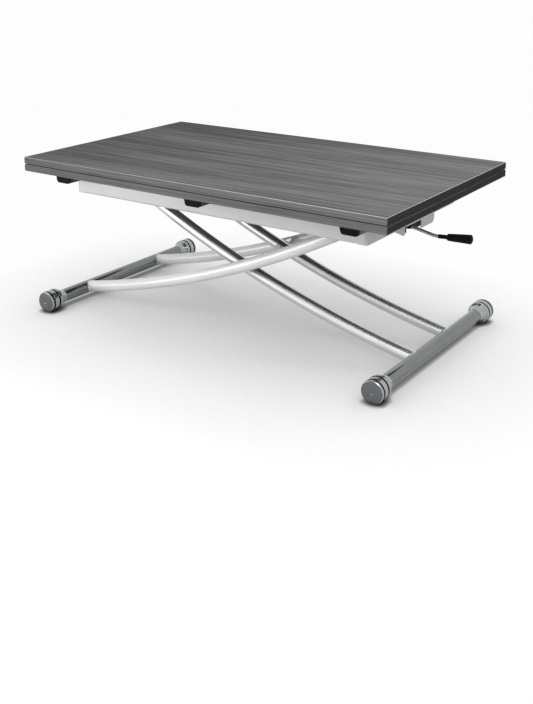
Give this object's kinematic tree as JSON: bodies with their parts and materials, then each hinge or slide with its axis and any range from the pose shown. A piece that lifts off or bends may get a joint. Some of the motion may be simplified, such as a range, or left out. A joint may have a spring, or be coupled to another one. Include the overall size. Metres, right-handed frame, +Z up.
{
  "type": "convertible coffee dining table",
  "caption": "Low rectangular table on bow-bent scissor legs that lifts to dining height, with a top that slides across and unfolds to twice its width",
  "frame": {"origin": "on the floor under the middle of the closed table's box, release lever included", "axes": "+X along the top towards the release lever, +Y from the front to the hinged rear edge, +Z up"},
  "size_m": [1.154, 0.6633, 0.44],
  "materials": {
    "top_board": "dark grey wood-grain melamine, satin",
    "top_edging": "dark grey wood-grain edge band",
    "frame_paint": "light silver powder coat",
    "leg_paint": "light silver gloss paint",
    "rail_paint": "dark grey powder coat",
    "bar_paint": "satin grey paint",
    "roller_metal": "satin turned",
    "steel": "bright steel",
    "black_plastic": "black moulded plastic",
    "pale_plastic": "natural nylon",
    "ring_rubber": "black rubber",
    "gas_paint": "black paint",
    "gas_chrome": "ground and plated",
    "lever_steel": "grey plated rod"
  },
  "bodies": {
    "left_axle": {"left_foot_axle": "steel"},
    "left_wheels": {"left_front_roller": "roller_metal", "left_rear_roller": "roller_metal", "left_roller_rings": "ring_rubber"},
    "outer_legs": {"left_foot_bar": "bar_paint", "left_foot_bushes": "black_plastic", "outer_front_leg": "leg_paint", "outer_rear_leg": "leg_paint", "outer_leg_bosses": "leg_paint", "lift_axle": "steel", "lift_axle_spacers": "steel", "scissor_pins": "steel", "scissor_spacers": "leg_paint"},
    "track_rollers": {"front_track_roller": "black_plastic", "rear_track_roller": "black_plastic"},
    "lift_yoke": {"lift_yoke": "steel", "gas_cylinder": "gas_paint", "gas_gland": "black_plastic"},
    "inner_legs": {"right_foot_bar": "bar_paint", "right_foot_bushes": "black_plastic", "inner_front_leg": "leg_paint", "inner_rear_leg": "leg_paint", "inner_leg_bosses": "leg_paint", "pivot_axle": "steel", "pivot_axle_spacers": "steel", "scissor_bushes": "pale_plastic"},
    "right_wheels": {"right_foot_axle": "steel", "right_front_roller": "roller_metal", "right_rear_roller": "roller_metal", "right_roller_rings": "ring_rubber"},
    "subframe": {"front_channel": "frame_paint", "rear_channel": "frame_paint", "left_end_plate": "frame_paint", "right_end_plate": "frame_paint", "pivot_blocks": "pale_plastic", "left_cross_rail": "rail_paint", "middle_cross_rail": "rail_paint", "right_cross_rail": "rail_paint", "rail_end_caps": "black_plastic", "lever_bracket": "frame_paint", "release_head": "black_plastic", "lever_pin": "steel", "gas_rod": "gas_chrome", "gas_piston": "steel"},
    "release_lever": {"lever_rod": "lever_steel", "lever_sleeve": "black_plastic", "lever_grip": "black_plastic"},
    "valve_pin": {"valve_pin": "steel"},
    "lower_top": {"lower_leaf": "top_board", "lower_edging": "top_edging", "slide_shoes": "black_plastic", "leaf_bumpers": "pale_plastic", "lower_hinge_plates": "steel", "hinge_pins": "steel"},
    "upper_top": {"upper_leaf": "top_board", "upper_edging": "top_edging", "upper_hinge_plates": "steel"}
  },
  "joints": [
    {"name": "left_roll", "type": "hinge", "parent": "left_axle", "child": "left_wheels", "pos_m": [-0.541, 0, 0.029], "axis": [0, 1, 0], "continuous": true},
    {"name": "lift", "type": "hinge", "parent": "left_axle", "child": "outer_legs", "pos_m": [-0.541, 0, 0.029], "axis": [0, -1, 0], "range_deg": [0, 22.5]},
    {"name": "scissor", "type": "hinge", "parent": "outer_legs", "child": "inner_legs", "pos_m": [-0.027, 0, 0.17559], "axis": [0, -1, 0], "range_deg": [-45, 0]},
    {"name": "frame_pivot", "type": "hinge", "parent": "inner_legs", "child": "subframe", "pos_m": [-0.411, 0, 0.3562], "axis": [0, -1, 0], "range_deg": [0, 22.5]},
    {"name": "yoke_pivot", "type": "hinge", "parent": "outer_legs", "child": "lift_yoke", "pos_m": [0.357, 0, 0.3562], "axis": [0, -1, 0], "range_deg": [-22.5, 0]},
    {"name": "track_roll", "type": "hinge", "parent": "outer_legs", "child": "track_rollers", "pos_m": [0.357, 0, 0.3562], "axis": [0, 1, 0], "continuous": true},
    {"name": "right_roll", "type": "hinge", "parent": "inner_legs", "child": "right_wheels", "pos_m": [0.487, 0, 0.029], "axis": [0, 1, 0], "continuous": true},
    {"name": "top_slide", "type": "slide", "parent": "subframe", "child": "lower_top", "axis": [0, -1, 0], "range_m": [0, 0.33]},
    {"name": "leaf_fold", "type": "hinge", "parent": "lower_top", "child": "upper_top", "pos_m": [-0.027, 0.3303, 0.421], "axis": [-1, 0, 0], "range_deg": [0, 180]},
    {"name": "lever", "type": "hinge", "parent": "subframe", "child": "release_lever", "pos_m": [0.41, 0, 0.3277], "axis": [0, -1, 0], "range_deg": [0, 12], "stiffness_Nm_per_rad": 4, "springref_deg": -5.73},
    {"name": "valve_press", "type": "slide", "parent": "subframe", "child": "valve_pin", "axis": [-1, 0, 0], "range_m": [0, 0.002]}
  ],
  "couplings": [
    {"joint": "scissor", "follows": "lift", "ratio": -2},
    {"joint": "frame_pivot", "follows": "lift", "ratio": 1},
    {"joint": "yoke_pivot", "follows": "lift", "ratio": -1},
    {"joint": "valve_press", "follows": "lever", "m_per_rad": 0.0074}
  ]
}
